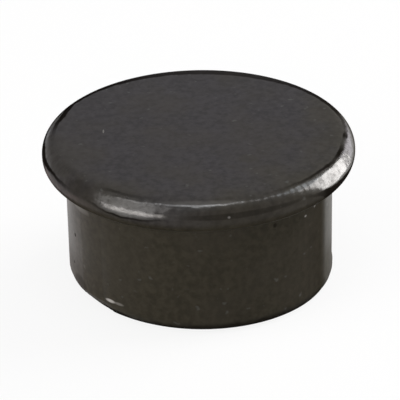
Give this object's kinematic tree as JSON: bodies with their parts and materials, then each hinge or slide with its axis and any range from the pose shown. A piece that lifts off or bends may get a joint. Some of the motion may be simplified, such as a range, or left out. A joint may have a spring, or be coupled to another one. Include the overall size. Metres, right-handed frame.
{
  "type": "disc magnet",
  "caption": "Round board magnet: a black moulded plug with a wide flat head on a narrower drafted skirt, holding a pressed magnet disc flush with its foot.",
  "frame": {"origin": "centre of the flat holding face, on the axis", "axes": "+Z along the axis, from the holding face to the flat top of the head"},
  "size_m": [0.013, 0.013, 0.0065],
  "materials": {
    "black_plastic": "satin",
    "ferrite": "matte"
  },
  "bodies": {
    "root": {"cap": "black_plastic", "magnet": "ferrite"}
  },
  "joints": []
}
